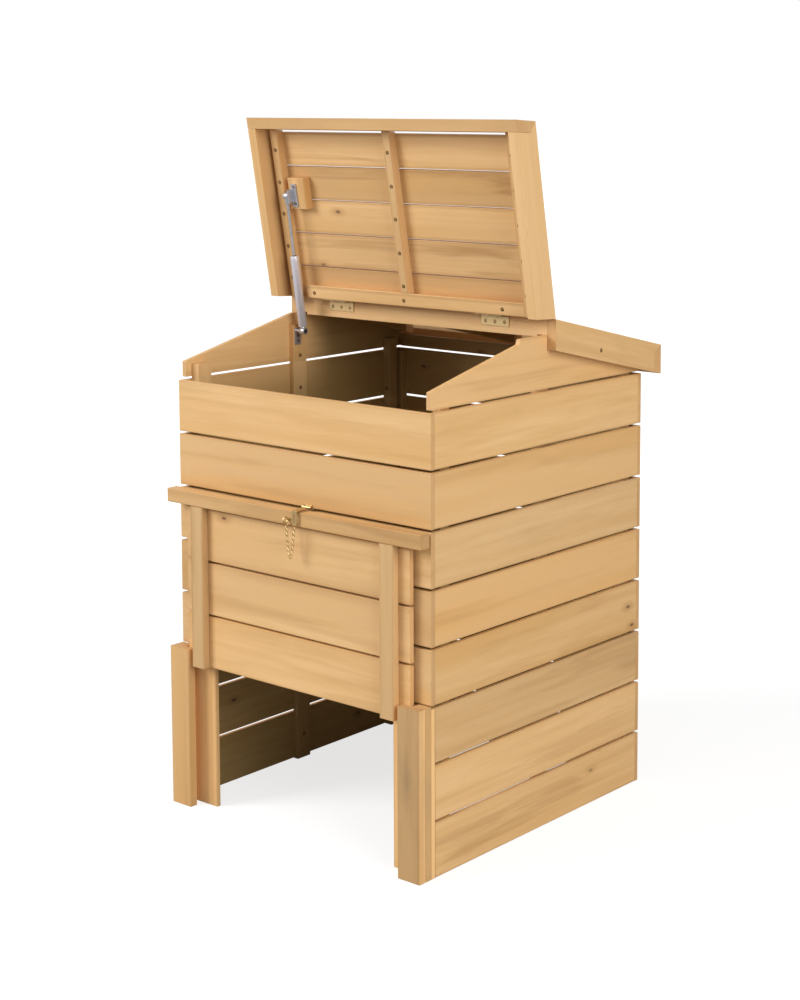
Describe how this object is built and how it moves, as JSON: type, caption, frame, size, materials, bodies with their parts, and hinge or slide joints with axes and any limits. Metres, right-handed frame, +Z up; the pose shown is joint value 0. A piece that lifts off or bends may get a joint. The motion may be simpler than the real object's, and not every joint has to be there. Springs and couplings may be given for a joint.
{
  "type": "compost bin",
  "caption": "Slatted softwood compost bin with a sliding front door and a pitched roof whose front half is a hinged lid held open by a gas strut.",
  "frame": {"origin": "on the ground under the middle of the part's box", "axes": "+X to the right of a person who faces the door, +Y from the front to the back, +Z up"},
  "size_m": [0.56, 0.5976, 1.0965],
  "materials": {
    "wall": "satin",
    "frame": "satin",
    "roof": "satin",
    "zinc": "satin",
    "silver": "satin",
    "brass": "polished"
  },
  "bodies": {
    "bin": {"back_panel": "wall", "front_slat_1": "wall", "front_slat_2": "wall", "front_slat_3": "wall", "front_slat_4": "wall", "front_slat_5": "wall", "latch_bracket": "brass", "left_guide": "frame", "left_guide_spacer": "frame", "left_hinge_fixed_leaf": "zinc", "left_jamb": "frame", "left_panel": "wall", "rear_eave_board": "roof", "rear_left_bargeboard": "roof", "rear_right_bargeboard": "roof", "rear_roof_deck": "roof", "right_front_post": "frame", "right_gable": "wall", "right_guide": "frame", "right_guide_spacer": "frame", "right_hinge_fixed_leaf": "zinc", "right_jamb": "frame", "right_middle_post": "frame", "right_rear_post": "frame", "right_slat_1": "wall", "right_slat_2": "wall", "right_slat_3": "wall", "right_slat_4": "wall", "right_slat_5": "wall", "right_slat_6": "wall", "right_slat_7": "wall", "right_slat_8": "wall", "strut_post_bracket": "zinc"},
    "lid": {"left_hinge_moving_leaf": "zinc", "lid_eave_board": "roof", "lid_hinge_rail": "roof", "lid_left_bargeboard": "roof", "lid_left_batten": "roof", "lid_middle_batten": "roof", "lid_right_bargeboard": "roof", "lid_right_batten": "roof", "lid_slat_1": "roof", "lid_slat_2": "roof", "lid_slat_3": "roof", "lid_slat_4": "roof", "lid_slat_5": "roof", "lid_strut_block": "frame", "right_hinge_moving_leaf": "zinc", "strut_lid_bracket": "zinc"},
    "strut_cylinder": {"strut_cylinder": "silver"},
    "strut_rod": {"strut_rod": "silver"},
    "door": {"door_header": "frame", "door_left_batten": "frame", "door_right_batten": "frame", "door_slat_1": "wall", "door_slat_2": "wall", "door_slat_3": "wall", "latch_eye": "brass", "latch_chain": "brass"},
    "latch_link": {"latch_link": "brass"}
  },
  "joints": [
    {"name": "lid_hinge", "type": "hinge", "parent": "bin", "child": "lid", "pos_m": [0, 0.01105, 0.7943], "axis": [1, 0, 0], "range_deg": [0, 93.2]},
    {"name": "strut_swing", "type": "hinge", "parent": "bin", "child": "strut_cylinder", "pos_m": [-0.227, -0.01365, 0.741], "axis": [1, 0, 0], "range_deg": [0, 87.64]},
    {"name": "strut_extend", "type": "slide", "parent": "strut_cylinder", "child": "strut_rod", "axis": [0, -0.1528, 0.9883], "range_m": [-0.0836, 0]},
    {"name": "door_slide", "type": "slide", "parent": "bin", "child": "door", "axis": [0, 0, 1], "range_m": [-0.2315, 0]},
    {"name": "latch_swing", "type": "hinge", "parent": "bin", "child": "latch_link", "pos_m": [0.0215, -0.26305, 0.5173], "axis": [-1, 0, 0], "range_deg": [0, 90]}
  ],
  "couplings": [
    {"joint": "strut_swing", "follows": "lid_hinge", "ratio": 0.93926},
    {"joint": "strut_extend", "follows": "lid_hinge", "m_per_rad": -0.051282}
  ]
}
